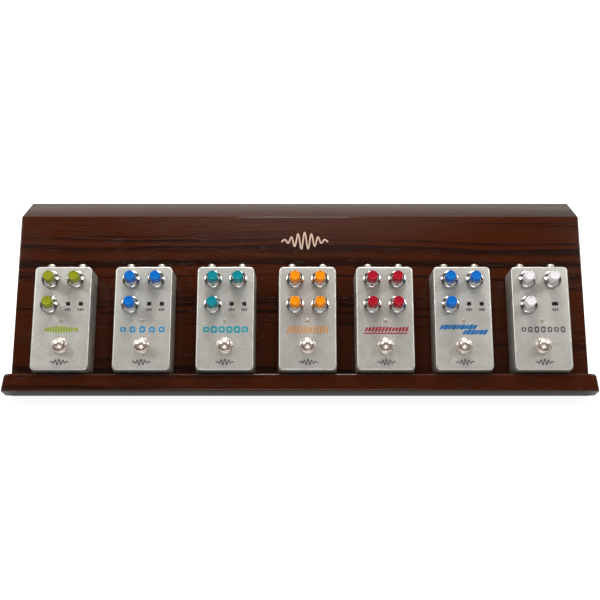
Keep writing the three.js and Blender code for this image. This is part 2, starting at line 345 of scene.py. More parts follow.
# ---------------------------------------------------------------- feet
# Four soft rubber bumpers under the bottom board, each rounded at its edge and moulded with a
# hole through the middle for its screw.
def rounded(corners, steps=5, closed=False):
    """A path with its corners turned into arcs. Each corner is (x, y, radius)."""
    path = []
    for i, (x, y, radius) in enumerate(corners):
        here = Vector((x, y))
        if not radius or (not closed and i in (0, len(corners) - 1)):
            path.append(here)
            continue
        back = (Vector(corners[i - 1][:2]) - here).normalized()
        ahead = (Vector(corners[(i + 1) % len(corners)][:2]) - here).normalized()
        half = back.angle(ahead) / 2
        centre = here + (back + ahead).normalized() * radius / math.sin(half)
        start = here + back * radius / math.tan(half) - centre
        end = here + ahead * radius / math.tan(half) - centre
        sweep = math.pi - 2 * half
        for step in range(steps + 1):
            part = step / steps
            path.append(centre + (start * math.sin((1 - part) * sweep)
                                  + end * math.sin(part * sweep)) / math.sin(sweep))
    return [(p.x, p.y) for p in path]


def turned(profile, sides=40, wobble=None):
    """Rings of a shape turned about Z from a profile of (radius, height)."""
    rings = []
    for radius, height in profile:
        ring = []
        for i in range(sides):
            angle = 2 * math.pi * i / sides
            reach = radius + (wobble(angle, radius, height) if wobble else 0)
            ring.append((reach * math.cos(angle), reach * math.sin(angle), height))
        rings.append(ring)
    return rings


def placed(mesh, matrix):
    mesh.transform(matrix)
    return mesh


def merged(meshes):
    """Several meshes as one, with their materials kept."""
    sculpt = bmesh.new()
    materials = []
    for mesh in meshes:
        shift = []
        for material in mesh.materials:
            if material not in materials:
                materials.append(material)
            shift.append(materials.index(material))
        before = len(sculpt.faces)
        sculpt.from_mesh(mesh)
        sculpt.faces.ensure_lookup_table()
        for face in sculpt.faces[before:]:
            face.material_index = shift[face.material_index] if shift else 0
    mesh = from_bmesh(sculpt)
    for material in materials:
        mesh.materials.append(material)
    return mesh


def moulded_rubber():
    material, tree, shader = new_finish("moulded_rubber")
    spot = add_node(tree, "ShaderNodeTexCoord").outputs["Object"]
    speck = noise(tree, spot, 900, 3, 0.6)
    tree.links.new(blend(tree, speck, tint("141414"), tint("2b2a29")), shader.inputs["Base Color"])
    tree.links.new(handled(tree, 60, 0.6, 0.85), shader.inputs["Roughness"])
    bump(tree, shader, speck, 0.00006)
    return material


RUBBER = moulded_rubber()


def make_feet():
    low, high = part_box("bottom_panel")
    radius, inset = 9, 30
    height = (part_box("back_panel")[0].z - low.z) / MM
    profile = rounded([(2.2, 0.7, 0), (3.4, 0, 0.3), (radius - 0.3, 0, 0.8), (radius, height - 0.02, 0),
                       (2.2, height - 0.02, 0)])
    spots = [(side * (high.x - inset * MM), y) for side in (-1, 1)
             for y in (low.y + inset * MM, high.y - inset * MM)]
    for number, (x, y) in enumerate(spots, 1):
        place = Matrix.Translation((x, y, low.z)) @ Matrix.Scale(MM, 4)
        foot = placed(skin(turned(profile), closed=True), place)
        thing = finish_piece(f"foot{number}", foot, "board", RUBBER)


make_feet()


# ---------------------------------------------------------------- front ledge
# One solid length of the same wood, square to the deck and screwed to its lower end from behind.
# Its front corners are rounded in plan and every edge is softened, and the pedals stand on it.
JOINTS = {joint["name"]: joint for joint in frame["joints"]}
ACROSS = Vector((1, 0, 0))
OUTWARD = Vector(JOINTS["pedal1_knob1_turn"]["axis"]).normalized()
UPHILL = OUTWARD.cross(ACROSS)
KNOB_COLUMN, KNOB_ROW, ROW_STEP = 12.8, 40.4, 26.9
FACE_HEIGHT = 33
PEDAL_MIDDLE = 56.25


def sloped(origin):
    """Millimetres across, up the slope and out from the deck, placed at a point of the frame."""
    turn = Matrix((ACROSS, UPHILL, OUTWARD)).transposed().to_4x4()
    return Matrix.Translation(origin) @ turn @ Matrix.Scale(MM, 4)


def pedal_place(number, height=0):
    """The place on the deck under the middle of a pedal, or the same spot at a height above it."""
    knob = Vector(JOINTS[f"pedal{number}_knob1_turn"]["pos_m"])
    middle = knob + (ACROSS * KNOB_COLUMN - UPHILL * KNOB_ROW - OUTWARD * (FACE_HEIGHT - height)) * MM
    return sloped(middle)


def deck_place():
    """The middle of the line where the deck meets the ledge's upper face."""
    start = pedal_place(4).translation - UPHILL * PEDAL_MIDDLE * MM
    return sloped((0, start.y, start.z))


def make_ledge():
    half, flare, thickness, depth, corner, edge, gap = 300, 2.5, 18, 26.5, 8, 2.2, 0.3
    section = [(edge * (1 - math.sin(a)), edge * (1 - math.cos(a)))
               for a in (math.radians(15 * step) for step in range(7))]
    levels = [(inset, -thickness + rise) for inset, rise in section]
    levels += [(inset, -rise) for inset, rise in reversed(section)]
    rings = []
    for inset, height in levels:
        plan = rounded([(-half + inset, gap + inset, 0.4), (half - inset, gap + inset, 0.4),
                        (half - inset, depth - inset, corner - inset),
                        (-half + inset, depth - inset, corner - inset)], steps=8, closed=True)
        spread = 1 - height / thickness * flare / half
        rings.append([(x * spread, height, out) for x, out in plan])
    mesh = placed(skin(rings[::-1]), deck_place())
    thing = finish_piece("front_ledge_board", mesh, "board", HARDWOOD)
    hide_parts("front_ledge")


make_ledge()


# ---------------------------------------------------------------- back screws
# Countersunk bright steel screws with a cross drive hold the back board to the end boards,
# the top board and the bottom board, evenly spaced and just under flush.
def make_row_tree():
    """Copies of one object in a straight row, evenly spaced, as one real mesh."""
    tree = bpy.data.node_groups.new("evenly_spaced_row", "GeometryNodeTree")
    for label, kind in (("Copied", "Object"), ("Count", "Int"), ("First", "Vector"),
                        ("Step", "Vector"), ("Finish", "Material")):
        tree.interface.new_socket(label, in_out="INPUT", socket_type="NodeSocket" + kind)
    tree.interface.new_socket("Row", in_out="OUTPUT", socket_type="NodeSocketGeometry")
    given = add_node(tree, "NodeGroupInput").outputs
    line = add_node(tree, "GeometryNodeMeshLine", {
        "Count": given["Count"], "Start Location": given["First"], "Offset": given["Step"]})
    copied = add_node(tree, "GeometryNodeObjectInfo", {"Object": given["Copied"]})
    row = add_node(tree, "GeometryNodeInstanceOnPoints", {
        "Points": line.outputs[0], "Instance": copied.outputs["Geometry"]})
    real = add_node(tree, "GeometryNodeRealizeInstances", {0: row.outputs[0]})
    done = add_node(tree, "GeometryNodeSetMaterial", {0: real.outputs[0], "Material": given["Finish"]})
    add_node(tree, "NodeGroupOutput", {0: done.outputs[0]})
    return tree


def grown(tree, inputs):
    """The plain mesh that a geometry tree makes with the named inputs."""
    carrier = bpy.data.objects.new("carrier", bpy.data.meshes.new("carrier"))
    bpy.context.scene.collection.objects.link(carrier)
    modifier = carrier.modifiers.new("tree", "NODES")
    modifier.node_group = tree
    for item in tree.interface.items_tree:
        if item.in_out == "INPUT" and item.name in inputs:
            modifier[item.identifier] = inputs[item.name]
    view = bpy.context.evaluated_depsgraph_get()
    mesh = bpy.data.meshes.new_from_object(carrier.evaluated_get(view), depsgraph=view)
    bpy.data.objects.remove(carrier)
    return mesh


def cut_away(mesh, cutters):
    """The mesh less its cutters, which are closed meshes in the same place."""
    parts = [bpy.data.objects.new("part", shape) for shape in (mesh, merged(cutters))]
    for part in parts:
        bpy.context.scene.collection.objects.link(part)
    modifier = parts[0].modifiers.new("cut", "BOOLEAN")
    modifier.object = parts[1]
    modifier.solver = "EXACT"
    modifier.use_self = True
    view = bpy.context.evaluated_depsgraph_get()
    result = bpy.data.meshes.new_from_object(parts[0].evaluated_get(view), depsgraph=view)
    for part in parts:
        bpy.data.objects.remove(part)
    return result


def slab(width, length, low, high, x=0, y=0, radius=0.4, edge=0):
    """A block with rounded upright corners and, if asked, a bevel round its top."""
    def ring(inset, z):
        w, l, r = width / 2 - inset, length / 2 - inset, max(radius - inset, 0.05)
        plan = rounded([(w, l, r), (-w, l, r), (-w, -l, r), (w, -l, r)], steps=4, closed=True)
        return [(x + px, y + py, z) for px, py in plan]
    rings = [ring(0, low), ring(0, high - edge)]
    if edge:
        rings += [ring(edge * (1 - math.cos(a)), high - edge + edge * math.sin(a))
                  for a in (math.radians(22.5 * step) for step in range(1, 5))]
    return skin(rings)


def plated_metal(name, base, smooth, rough, grain):
    """Bright plated metal: a very fine grain in its surface and a faint haze over its gloss."""
    material, tree, shader = new_finish(name)
    spot = add_node(tree, "ShaderNodeTexCoord").outputs["Object"]
    haze = noise(tree, spot, 160, 4, 0.6)
    tree.links.new(blend(tree, arith(tree, "MULTIPLY", haze, 0.35), tint(base), tint("8c8984")),
                   shader.inputs["Base Color"])
    shader.inputs["Metallic"].default_value = 1
    tree.links.new(handled(tree, 220, smooth, rough), shader.inputs["Roughness"])
    bump(tree, shader, noise(tree, spot, 2500, 2), 0.00001 * grain)
    return material


BRIGHT_STEEL = plated_metal("bright_steel", "d6d4d0", 0.16, 0.32, 1.0)


def make_back_screws():
    profile = [(0.05, -0.4), (3.2, -0.4), (3.4, 0.02), (3.4, 0.1), (2.6, 0.5), (1.1, 0.6), (0.05, 0.55)]
    head = skin(turned(profile, sides=24))
    for width, length in ((0.75, 3.6), (3.6, 0.75)):
        head = cut_away(head, [slab(width, length, -0.3, 2, radius=0.1)])
    facing_back = Matrix.Rotation(math.radians(-90), 4, "X") @ Matrix.Scale(MM, 4)
    screw = bpy.data.objects.new("screw", placed(head, facing_back))
    hole = skin(turned([(3.0, -1.2), (3.75, 0.75)], 24))
    countersink = bpy.data.objects.new("countersink", placed(hole, facing_back))
    low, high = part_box("back_panel")
    tree = make_row_tree()
    sunk = high.y - 0.62 * MM
    in_a_row, end_margin = 6, 18 * MM
    step = (high.x - low.x - 2 * end_margin) / (in_a_row - 1)
    heights = (low.z + 6 * MM, high.z - 9 * MM)

    def rows_of(copied, finish):
        return merged([grown(tree, {
            "Copied": copied, "Count": in_a_row, "First": (low.x + end_margin, sunk, height),
            "Step": (step, 0, 0), "Finish": finish}) for height in heights])
    screws, countersinks = rows_of(screw, BRIGHT_STEEL), rows_of(countersink, HARDWOOD)
    for pattern in (screw, countersink):
        bpy.data.objects.remove(pattern)
    board = bpy.data.objects["back_panel_board"]
    board.data = cut_away(board.data.copy(), [countersinks])
    finish_piece("back_screws", screws, "board")


make_back_screws()


# ---------------------------------------------------------------- deck emblem
# A pale foil-stamped ornament near the top of the deck: one burst of a tone wave, upright and
# the same at both ends.
def ribbon(path, width, thickness):
    """A flat stroke of even width along a path of (x, y), lying on z = 0."""
    rings = []
    for i, point in enumerate(path):
        before = Vector(path[max(i - 1, 0)])
        after = Vector(path[min(i + 1, len(path) - 1)])
        side = (after - before).normalized().orthogonal() * width / 2
        left, right = Vector(point) + side, Vector(point) - side
        rings.append([(right.x, right.y, 0), (left.x, left.y, 0),
                      (left.x, left.y, thickness), (right.x, right.y, thickness)])
    mesh = skin(rings)
    sculpt = bmesh.new()
    sculpt.from_mesh(mesh)
    bmesh.ops.recalc_face_normals(sculpt, faces=sculpt.faces)
    return from_bmesh(sculpt)


def tone_burst(cycles, height, length, samples=160):
    """A wave of the given length that grows to its full height at the middle."""
    path = []
    for i in range(samples + 1):
        part = i / samples
        swell = 0.1 + 0.9 * math.sin(math.pi * part) ** 2
        rise = height / 2 * swell * math.cos(2 * math.pi * cycles * (part - 0.5))
        path.append(((part - 0.5) * length, rise))
    return path


def printed(name, colour, roughness, metallic=0.0):
    """Ink or foil: a thin film whose colour breaks up slightly where it was laid on."""
    material, tree, shader = new_finish(name)
    spot = add_node(tree, "ShaderNodeTexCoord").outputs["Object"]
    film = noise(tree, spot, 1400, 3, 0.7)
    shade = [c * 0.72 for c in tint(colour)[:3]] + [1]
    tree.links.new(blend(tree, film, shade, tint(colour)), shader.inputs["Base Color"])
    shader.inputs["Metallic"].default_value = metallic
    tree.links.new(handled(tree, 300, roughness, roughness + 0.2), shader.inputs["Roughness"])
    return material


def make_emblem():
    foil = printed("pale_foil", "e4c5ae", 0.35, 0.1)
    stroke = ribbon(tone_burst(cycles=7, height=19, length=50), width=1.5, thickness=0.12)
    across, up_the_deck, clear = 5, 150, 0.02
    place = deck_place() @ Matrix.Translation((across, up_the_deck, clear))
    thing = finish_piece("deck_emblem", placed(stroke, place), "board", foil)


make_emblem()


# ---------------------------------------------------------------- pedal shells
# Die-cast aluminium boxes, open at the back, with drafted walls and softened edges, sprayed in
# silver-grey hammered enamel that dries into small dimples. Holes are cut for every control.
PEDALS = range(1, 8)
PLATE_TOP = 3.3
WALL = 2.2
KNOBS = {pedal: sum(name.startswith(f"pedal{pedal}_knob") for name in frame["nodes"]) for pedal in PEDALS}
SLIDER_ROW = 14.75
SWITCH_ROW = -29.2
LAMP_ROW = -2.9
JACK_SIDE, JACK_HEIGHT, END_WALL = 16, 14, 55.3


def slider_slots(pedal):
    """Each slide switch of a pedal: where its slot's middle is across the face, and its travel."""
    slots = []
    middle = pedal_place(pedal).translation.x
    for name in sorted(n for n in frame["nodes"] if n.startswith(f"pedal{pedal}_slider")):
        reach = [value / MM for value in JOINTS[name + "_throw"]["range_m"]]
        low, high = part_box(name)
        rest = ((low.x + high.x) / 2 - middle) / MM
        slots.append((name, rest + sum(reach) / 2, (reach[1] - reach[0]) / 2))
    return slots


def knob_spots(pedal):
    return [((-KNOB_COLUMN if i % 2 == 0 else KNOB_COLUMN), KNOB_ROW - i // 2 * ROW_STEP)
            for i in range(KNOBS[pedal])]


def round_cutter(radius, low, high, x=0, y=0, sides=32):
    return placed(skin(turned([(radius, low), (radius, high)], sides)), Matrix.Translation((x, y, 0)))


def end_turn(x=0):
    """Turns a shape drawn along Z so that it stands out of the pedal's upper end wall."""
    return Matrix.Translation((x, END_WALL, JACK_HEIGHT)) @ Matrix.Rotation(math.radians(-90), 4, "X")


def make_hammered_enamel():
    material, tree, shader = new_finish("hammered_enamel")
    spot = add_node(tree, "ShaderNodeTexCoord").outputs["Object"]
    drift = add_node(tree, "ShaderNodeTexNoise", {"Vector": spot, "Scale": 260, "Detail": 2}).outputs["Color"]
    pushed = add_node(tree, "ShaderNodeVectorMath", {0: drift, 1: (0.0016, 0.0016, 0.0016), 2: spot},
                      operation="MULTIPLY_ADD").outputs[0]
    cells = add_node(tree, "ShaderNodeTexVoronoi", {
        "Vector": pushed, "Scale": 620, "Smoothness": 0.6}, feature="SMOOTH_F1").outputs["Distance"]
    fleck = noise(tree, spot, 3200, 2, 0.7)
    cloud = noise(tree, spot, 55, 3, 0.5)
    dimple = add_node(tree, "ShaderNodeMapRange", {
        "Value": cells, "From Min": 0.1, "From Max": 0.62}, interpolation_type="SMOOTHSTEP").outputs[0]
    paint = blend(tree, arith(tree, "MULTIPLY", dimple, 0.45), tint("d8d7cf"), tint("bcbcb6"))
    paint = blend(tree, arith(tree, "MULTIPLY", fleck, 0.22), paint, tint("e6e6e2"))
    paint = blend(tree, arith(tree, "MULTIPLY", cloud, 0.12), paint, tint("a3a4a0"))
    tree.links.new(paint, shader.inputs["Base Color"])
    shader.inputs["Metallic"].default_value = 0.9
    tree.links.new(handled(tree, 90, 0.42, 0.5), shader.inputs["Roughness"])
    bump(tree, shader, arith(tree, "SUBTRACT", 1.0, dimple), 0.00010, 0.7)
    return material


HAMMERED = make_hammered_enamel()


def shell_blank():
    """The bare casting: inside wall, open rim, outside wall, then the rounded edge of the face."""
    foot = PLATE_TOP + 0.3
    edge = 1.5
    inside_top = FACE_HEIGHT - WALL

    def ring(x, y, radius, z):
        return [(px, py, z) for px, py in rounded(
            [(x, y, radius), (-x, y, radius), (-x, -y, radius), (x, -y, radius)], steps=8, closed=True)]
    rings = [ring(26.7, 52.05, 2.6, inside_top), ring(28.05, 53.55, 3, foot)]
    rings += [ring(30.0, 55.5, 4.8, foot), ring(30.25, 55.75, 5, foot + 0.25)]
    for step in range(8):
        angle = math.radians(90 * step / 7)
        inset = edge * (1 - math.cos(angle))
        rings.append(ring(29.1 - inset, 54.45 - inset, 4.5 - inset * 0.5,
                          FACE_HEIGHT - edge + edge * math.sin(angle)))
    return skin(rings)


def make_shells():
    blank = shell_blank()
    below, above = FACE_HEIGHT - 5, FACE_HEIGHT + 3
    shaft_hole, switch_hole, lamp_hole, jack_hole, inlet_hole = 3.5, 6.4, 1.6, 4.8, 5.2
    for pedal in PEDALS:
        cutters = [round_cutter(shaft_hole, below, above, x, y) for x, y in knob_spots(pedal)]
        cutters.append(round_cutter(switch_hole, below, above, 0, SWITCH_ROW))
        cutters.append(round_cutter(lamp_hole, below, above, 0, LAMP_ROW, 20))
        cutters += [slab(2.2 + 2 * travel, 4, below, above, x, SLIDER_ROW, 0.3)
                    for _, x, travel in slider_slots(pedal)]
        for x, radius in ((-JACK_SIDE, jack_hole), (JACK_SIDE, jack_hole), (0, inlet_hole)):
            cutters.append(placed(round_cutter(radius, -6, 6), end_turn(x)))
        shell = placed(cut_away(blank.copy(), cutters), pedal_place(pedal))
        thing = finish_piece(f"pedal{pedal}_shell", shell, "board", HAMMERED, sharp=30)
        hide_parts(f"pedal{pedal}_enclosure")


make_shells()


# ---------------------------------------------------------------- base plates and pads
# Pressed steel back plates, powder-coated dark and screwed to the shells, each with a ribbed
# rubber pad bonded to its back so that the pedal grips the deck.
def powder_coat():
    material, tree, shader = new_finish("dark_powder_coat")
    spot = add_node(tree, "ShaderNodeTexCoord").outputs["Object"]
    peel = noise(tree, spot, 1500, 3, 0.6)
    tree.links.new(blend(tree, peel, tint("262728"), tint("3a3b3c")), shader.inputs["Base Color"])
    tree.links.new(handled(tree, 120, 0.42, 0.6), shader.inputs["Roughness"])
    bump(tree, shader, peel, 0.00004)
    return material


def make_bases():
    coat = powder_coat()
    for pedal in PEDALS:
        plate = placed(slab(60.5, 111.5, 1.8, PLATE_TOP, radius=5, edge=0.3), pedal_place(pedal))
        thing = finish_piece(f"pedal{pedal}_plate", plate, "board", coat)
        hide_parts(f"pedal{pedal}_base_plate")
        ribs = [slab(54.5, 105.5, 0.8, 1.8, radius=3)]
        ribs += [slab(54.5, 5.5, 0.3, 0.8, y=-50 + 10 * row, radius=1) for row in range(11)]
        pad = placed(merged(ribs), pedal_place(pedal))
        thing = finish_piece(f"pedal{pedal}_pad", pad, "board", RUBBER)


make_bases()


# ---------------------------------------------------------------- knobs
# Each knob is a spun aluminium skirt with a knurled rim, polished and lacquered, around a tall
# moulded cap in the pedal's own colour. It pushes onto a steel shaft that comes up through a
# nut on the face, and a dark line cut in the skirt shows where it is set.
CAP_COLOURS = {1: "93991c", 2: "0070cc", 3: "008c98", 4: "ff9600", 5: "b00c26", 6: "0070cc", 7: "f2eff2"}


def moulded_cap(colour):
    material, tree, shader = new_finish("moulded_cap_" + colour)
    spot = add_node(tree, "ShaderNodeTexCoord").outputs["Object"]
    swirl = noise(tree, spot, 140, 4, 0.6)
    deep = [c * 0.82 for c in tint(colour)[:3]] + [1]
    tree.links.new(blend(tree, swirl, deep, tint(colour)), shader.inputs["Base Color"])
    shader.inputs["Specular IOR Level"].default_value = 0.2
    tree.links.new(handled(tree, 260, 0.32, 0.46), shader.inputs["Roughness"])
    bump(tree, shader, noise(tree, spot, 2600, 2), 0.00001)
    return material


def spun_skirt():
    """A dished disc whose rim has fine knurls."""
    bottom, rim = 0.7, 8.9
    dish = [(3.4, bottom, 0), (rim - 0.3, bottom, 0.25), (rim, bottom + 0.4, 0.3), (rim, bottom + 1.5, 0.35),
            (rim - 0.9, bottom + 1.9, 0.3), (6.1, bottom + 3.3, 1.2), (5.6, bottom + 5.2, 0.3),
            (3.4, bottom + 5.4, 0)]
    knurl = lambda angle, radius, height: 0.1 * math.cos(48 * angle) if radius > 8.4 else 0
    return skin(turned(rounded(dish, steps=3), sides=144, wobble=knurl), closed=True)


def cap_body():
    """A slightly tapered cap with a rounded shoulder and a shallow dished top."""
    low, top = 5.0, 16.0
    outline = [(3.2, low, 0), (5.4, low, 0.2), (5.15, top, 0.9), (3.9, top, 0.3), (3.4, top - 0.25, 0.3),
               (0.05, top - 0.25, 0)]
    return skin(turned([(0.05, low)] + rounded(outline, steps=5), sides=56))


def make_knobs():
    skirt_metal = plated_metal("polished_skirt", "bab9b7", 0.1, 0.24, 1.0)
    line_ink = printed("dark_line", "141414", 0.5)
    collar = plated_metal("zinc_nut", "bdbbb6", 0.25, 0.4, 1.5)
    caps = {colour: moulded_cap(colour) for colour in sorted(set(CAP_COLOURS.values()))}
    skirt, cap = spun_skirt(), cap_body()
    skirt_line = slab(0.7, 2.6, 2.0, 2.9, y=7.4, radius=0.15)
    cap_line = slab(0.6, 2.0, 15.98, 16.0, y=4.3, radius=0.1)
    shaft = skin(turned([(0.05, -6.5), (2.8, -6.5), (3, -6.2), (3, 5), (0.05, 5)], 24))
    nut = cut_away(skin(turned([(0.05, 0), (5.3, 0), (5.5, 0.15), (5.5, 0.5), (0.05, 0.5)], 6)),
                   [round_cutter(3.45, -1, 2)])
    skirt_line.materials.append(line_ink)
    cap_line.materials.append(line_ink)
    skirt.materials.append(skirt_metal)
    shaft.materials.append(collar)
    for pedal in PEDALS:
        colour = CAP_COLOURS[pedal]
        face = pedal_place(pedal, FACE_HEIGHT)
        for number, (x, y) in enumerate(knob_spots(pedal), 1):
            knob = f"pedal{pedal}_knob{number}"
            spot = face @ Matrix.Translation((x, y, 0))
            metal = finish_piece(knob + "_skirt", placed(merged([skirt, skirt_line, shaft]), spot), knob)
            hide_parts(knob)
            top = cap.copy()
            top.materials.append(caps[colour])
            moulded = finish_piece(knob + "_cap", placed(merged([top, cap_line]), spot), knob)
        nuts = merged([placed(nut.copy(), face @ Matrix.Translation((x, y, 0)))
                       for x, y in knob_spots(pedal)])
        fixed = finish_piece(f"pedal{pedal}_shaft_nuts", nuts, "board", collar)


make_knobs()


# ---------------------------------------------------------------- slide switches
# Small black slide switches: a moulded body behind the face, and a ribbed lever that stands
# just proud of its slot.
def black_moulding():
    material, tree, shader = new_finish("black_moulding")
    spot = add_node(tree, "ShaderNodeTexCoord").outputs["Object"]
    grit = noise(tree, spot, 2200, 2, 0.6)
    tree.links.new(blend(tree, grit, tint("101010"), tint("222122")), shader.inputs["Base Color"])
    tree.links.new(handled(tree, 300, 0.35, 0.55), shader.inputs["Roughness"])
    bump(tree, shader, grit, 0.00002)
    return material


BLACK = black_moulding()


def make_sliders():
    for pedal in PEDALS:
        face = pedal_place(pedal, FACE_HEIGHT)
        bodies = []
        for name, x, travel in slider_slots(pedal):
            bodies.append(slab(8 + 2 * travel, 6, -7, -WALL - 2.6, x, SLIDER_ROW))
            low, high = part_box(name)
            rest = ((low.x + high.x) / 2 - pedal_place(pedal).translation.x) / MM
            ribs = [slab(1.9, 0.5, -0.2, 0.9, rest, SLIDER_ROW + row * 0.95, 0.15, 0.15)
                    for row in (-1, 0, 1)]
            stem = [slab(2, 2.6, -WALL - 0.6, 0.55, rest, SLIDER_ROW, 0.2, 0.15),
                    slab(4.4, 5, -WALL - 1.5, -WALL - 0.3, rest, SLIDER_ROW, 0.3)]
            lever = finish_piece(f"{name}_lever", placed(merged(stem + ribs), face), name, BLACK)
            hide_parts(name)
        if bodies:
            body = finish_piece(f"pedal{pedal}_switch_bodies", placed(merged(bodies), face), "board", BLACK)


make_sliders()


# ---------------------------------------------------------------- footswitches
# A domed steel plunger slides in a threaded bushing, held to the face by a smooth dress nut
# over a washer. All of it is plated in warm nickel.
def make_footswitches():
    nickel = plated_metal("warm_nickel", "f4e6da", 0.28, 0.4, 0.6)
    collar = [(5.5, -WALL - 4, 0), (6.1, -WALL - 4, 0), (6.1, 0, 0), (8.2, 0, 0.1), (8.2, 0.5, 0.2),
              (7.8, 0.6, 0), (7.8, 2.2, 0.8), (7.0, 3.2, 0.5), (6.2, 3.3, 0), (6.1, 4.0, 0.2), (5.5, 4.0, 0)]
    fixed = skin(turned(rounded(collar, steps=4), 64), closed=True)
    foot = -WALL - 4.3
    tip, curve = 9.6, 8.0
    dome = [(reach, tip - curve + math.sqrt(curve ** 2 - reach ** 2))
            for reach in (4.5, 4, 3.3, 2.5, 1.6, 0.8, 0.05)]
    moving = [(0.05, foot - 1.5, 0), (6.1, foot - 1.5, 0.3), (6.1, foot, 0.2), (5, foot, 0), (5, 8.0, 0.5)]
    plunger = skin(turned(rounded(moving + [(*dome[0], 0)], steps=4) + dome[1:], 56))
    for pedal in PEDALS:
        spot = pedal_place(pedal, FACE_HEIGHT) @ Matrix.Translation((0, SWITCH_ROW, 0))
        nut = finish_piece(f"pedal{pedal}_switch_collar", placed(fixed.copy(), spot), "board", nickel)
        name = f"pedal{pedal}_footswitch"
        button = finish_piece(f"{name}_plunger", placed(plunger.copy(), spot), name, nickel)
        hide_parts(name)


make_footswitches()


# ---------------------------------------------------------------- jacks and power inlet
# Two panel jacks stand out of the upper end wall, each with a cut thread, a washer and a
# hexagon nut, and between them is a moulded power inlet with a centre pin.
def make_jacks():
    plated = plated_metal("nickel_jack", "e4e0d6", 0.3, 0.45, 1.2)
    threads = [(4.2 if i % 2 else 3.9, 0.6 + i * 0.4, 0) for i in range(14)]
    inner_end = [(3.3, -6, 0), (4.6, -6, 0), (4.2, 0.4, 0)]
    outer_end = [(3.9, 6.4, 0.2), (3.7, 6.7, 0.1), (3.3, 6.7, 0.1)]
    barrel = skin(turned(rounded(inner_end + threads + outer_end, steps=2), 40), closed=True)
    washer = [(4.65, -0.05), (5.1, -0.05), (5.2, 0.1), (5.2, 0.35), (5.1, 0.45), (4.65, 0.45)]
    washer = skin(turned(washer, 48), closed=True)
    nut = [(0.05, 0.45), (5.2, 0.45), (5.5, 0.75), (5.5, 2.0), (5.2, 2.3), (0.05, 2.3)]
    nut = cut_away(skin(turned(nut, sides=6)), [round_cutter(4.3, 0, 4)])
    contact = skin(turned([(0.05, -8), (4.6, -8), (4.6, -6), (0.05, -6)], 32))
    ring = skin(turned(rounded([(2.8, -8, 0), (5.1, -8, 0), (5.1, 0, 0), (5.6, 0, 0.1), (5.6, 0.7, 0.3),
                                (4.9, 0.7, 0), (2.8, 0.3, 0.2)], steps=3), 48), closed=True)
    pin = skin(turned([(0.05, -8), (1, -8), (1, -1.2), (0.7, -0.7), (0.05, -0.6)], 20))
    back = skin(turned([(0.05, -9), (5.1, -9), (5.1, -8), (0.05, -8)], 32))
    for shape in (barrel, washer, nut, pin):
        shape.materials.append(plated)
    for shape in (contact, ring, back):
        shape.materials.append(BLACK)
    for pedal in PEDALS:
        place = pedal_place(pedal)
        for label, x in (("left", -JACK_SIDE), ("right", JACK_SIDE)):
            jack = placed(merged([barrel, washer, nut, contact]), place @ end_turn(x))
            finish_piece(f"pedal{pedal}_{label}_jack", jack, "board")
        inlet = placed(merged([ring, pin, back]), place @ end_turn())
        finish_piece(f"pedal{pedal}_power_inlet", inlet, "board")


make_jacks()


# ---------------------------------------------------------------- indicator lamps
# A clear lens in a thin bright bezel, with the unlit lamp seen faintly through it.
def make_lamps():
    bezel_metal = plated_metal("lamp_bezel", "cfccc4", 0.35, 0.5, 1.0)
    lens_plastic, tree, shader = new_finish("lamp_lens")
    spot = add_node(tree, "ShaderNodeTexCoord").outputs["Object"]
    tree.links.new(blend(tree, noise(tree, spot, 900, 2), tint("a88a66"), tint("cbb490")),
                   shader.inputs["Base Color"])
    tree.links.new(handled(tree, 500, 0.08, 0.2), shader.inputs["Roughness"])
    bezel = skin(turned(rounded([(1.3, -2, 0), (1.55, -2, 0), (1.55, 0, 0), (2.1, 0, 0.1), (2.1, 0.5, 0.3),
                                 (1.3, 0.5, 0.2)], steps=3), 40), closed=True)
    dome = [(1.28 * math.cos(a), 0.2 + 0.6 * math.sin(a)) for a in (math.radians(15 * s) for s in range(6))]
    lens = skin(turned([(0.05, -2.2), (1.28, -2.2)] + dome + [(0.05, 0.8)], 32))
    bezel.materials.append(bezel_metal)
    lens.materials.append(lens_plastic)
    for pedal in PEDALS:
        spot = pedal_place(pedal, FACE_HEIGHT) @ Matrix.Translation((0, LAMP_ROW, 0))
        finish_piece(f"pedal{pedal}_lamp", placed(merged([bezel, lens]), spot), "board")


make_lamps()


# ---------------------------------------------------------------- printed legends
# Screen-printed ink on each face: a row or two of bars in the pedal's own colour, whose heights
# follow a wave, small ticks under each slide switch, and a little burst of a wave at the bottom.
LEGEND_INK = {1: "93a620", 2: "2a8fc0", 3: "1f98a8", 4: "d3944f", 5: "a01c34", 6: "0d68a8", 7: "5e5e60"}
# Rows of marks: count, pitch, width, tallest, middle x and y, cycles of the wave, swing. The marks
# of the pedals in OPEN_MARKS are hollow frames, and the others are solid bars. Those of the
# pedals in LEANING_MARKS lean to the right.
LEGEND_ROWS = {
    1: [(13, 2.65, 2.1, 7.2, 0.9, -12.4, 1.2, 0.5)],
    2: [(5, 9.8, 6.0, 6.8, 0.3, -12.4, 1.5, 0.25)],
    3: [(6, 7.8, 6.6, 7.6, 0.6, -12.4, 2.5, 0.25)],
    4: [(13, 3.3, 1.9, 8.6, 0.2, -12.8, 2.0, 0.3)],
    5: [(13, 3.4, 2.5, 5.2, 1.2, -12.2, 1.5, 0.25), (12, 3.7, 3.5, 1.5, 0.0, -16.4, 4.0, 0.1)],
    6: [(9, 4.1, 3.8, 5.4, -5.2, -9.8, 4.5, 0.2), (6, 4.1, 3.8, 5.2, 11.5, -15.2, 2.0, 0.2)],
    7: [(7, 6.6, 4.8, 6.6, 0.9, -12.4, 1.5, 0.25)],
}
OPEN_MARKS = {2: 0.4, 3: 0.4, 7: 0.4}
LEANING_MARKS = (4, 5, 6)


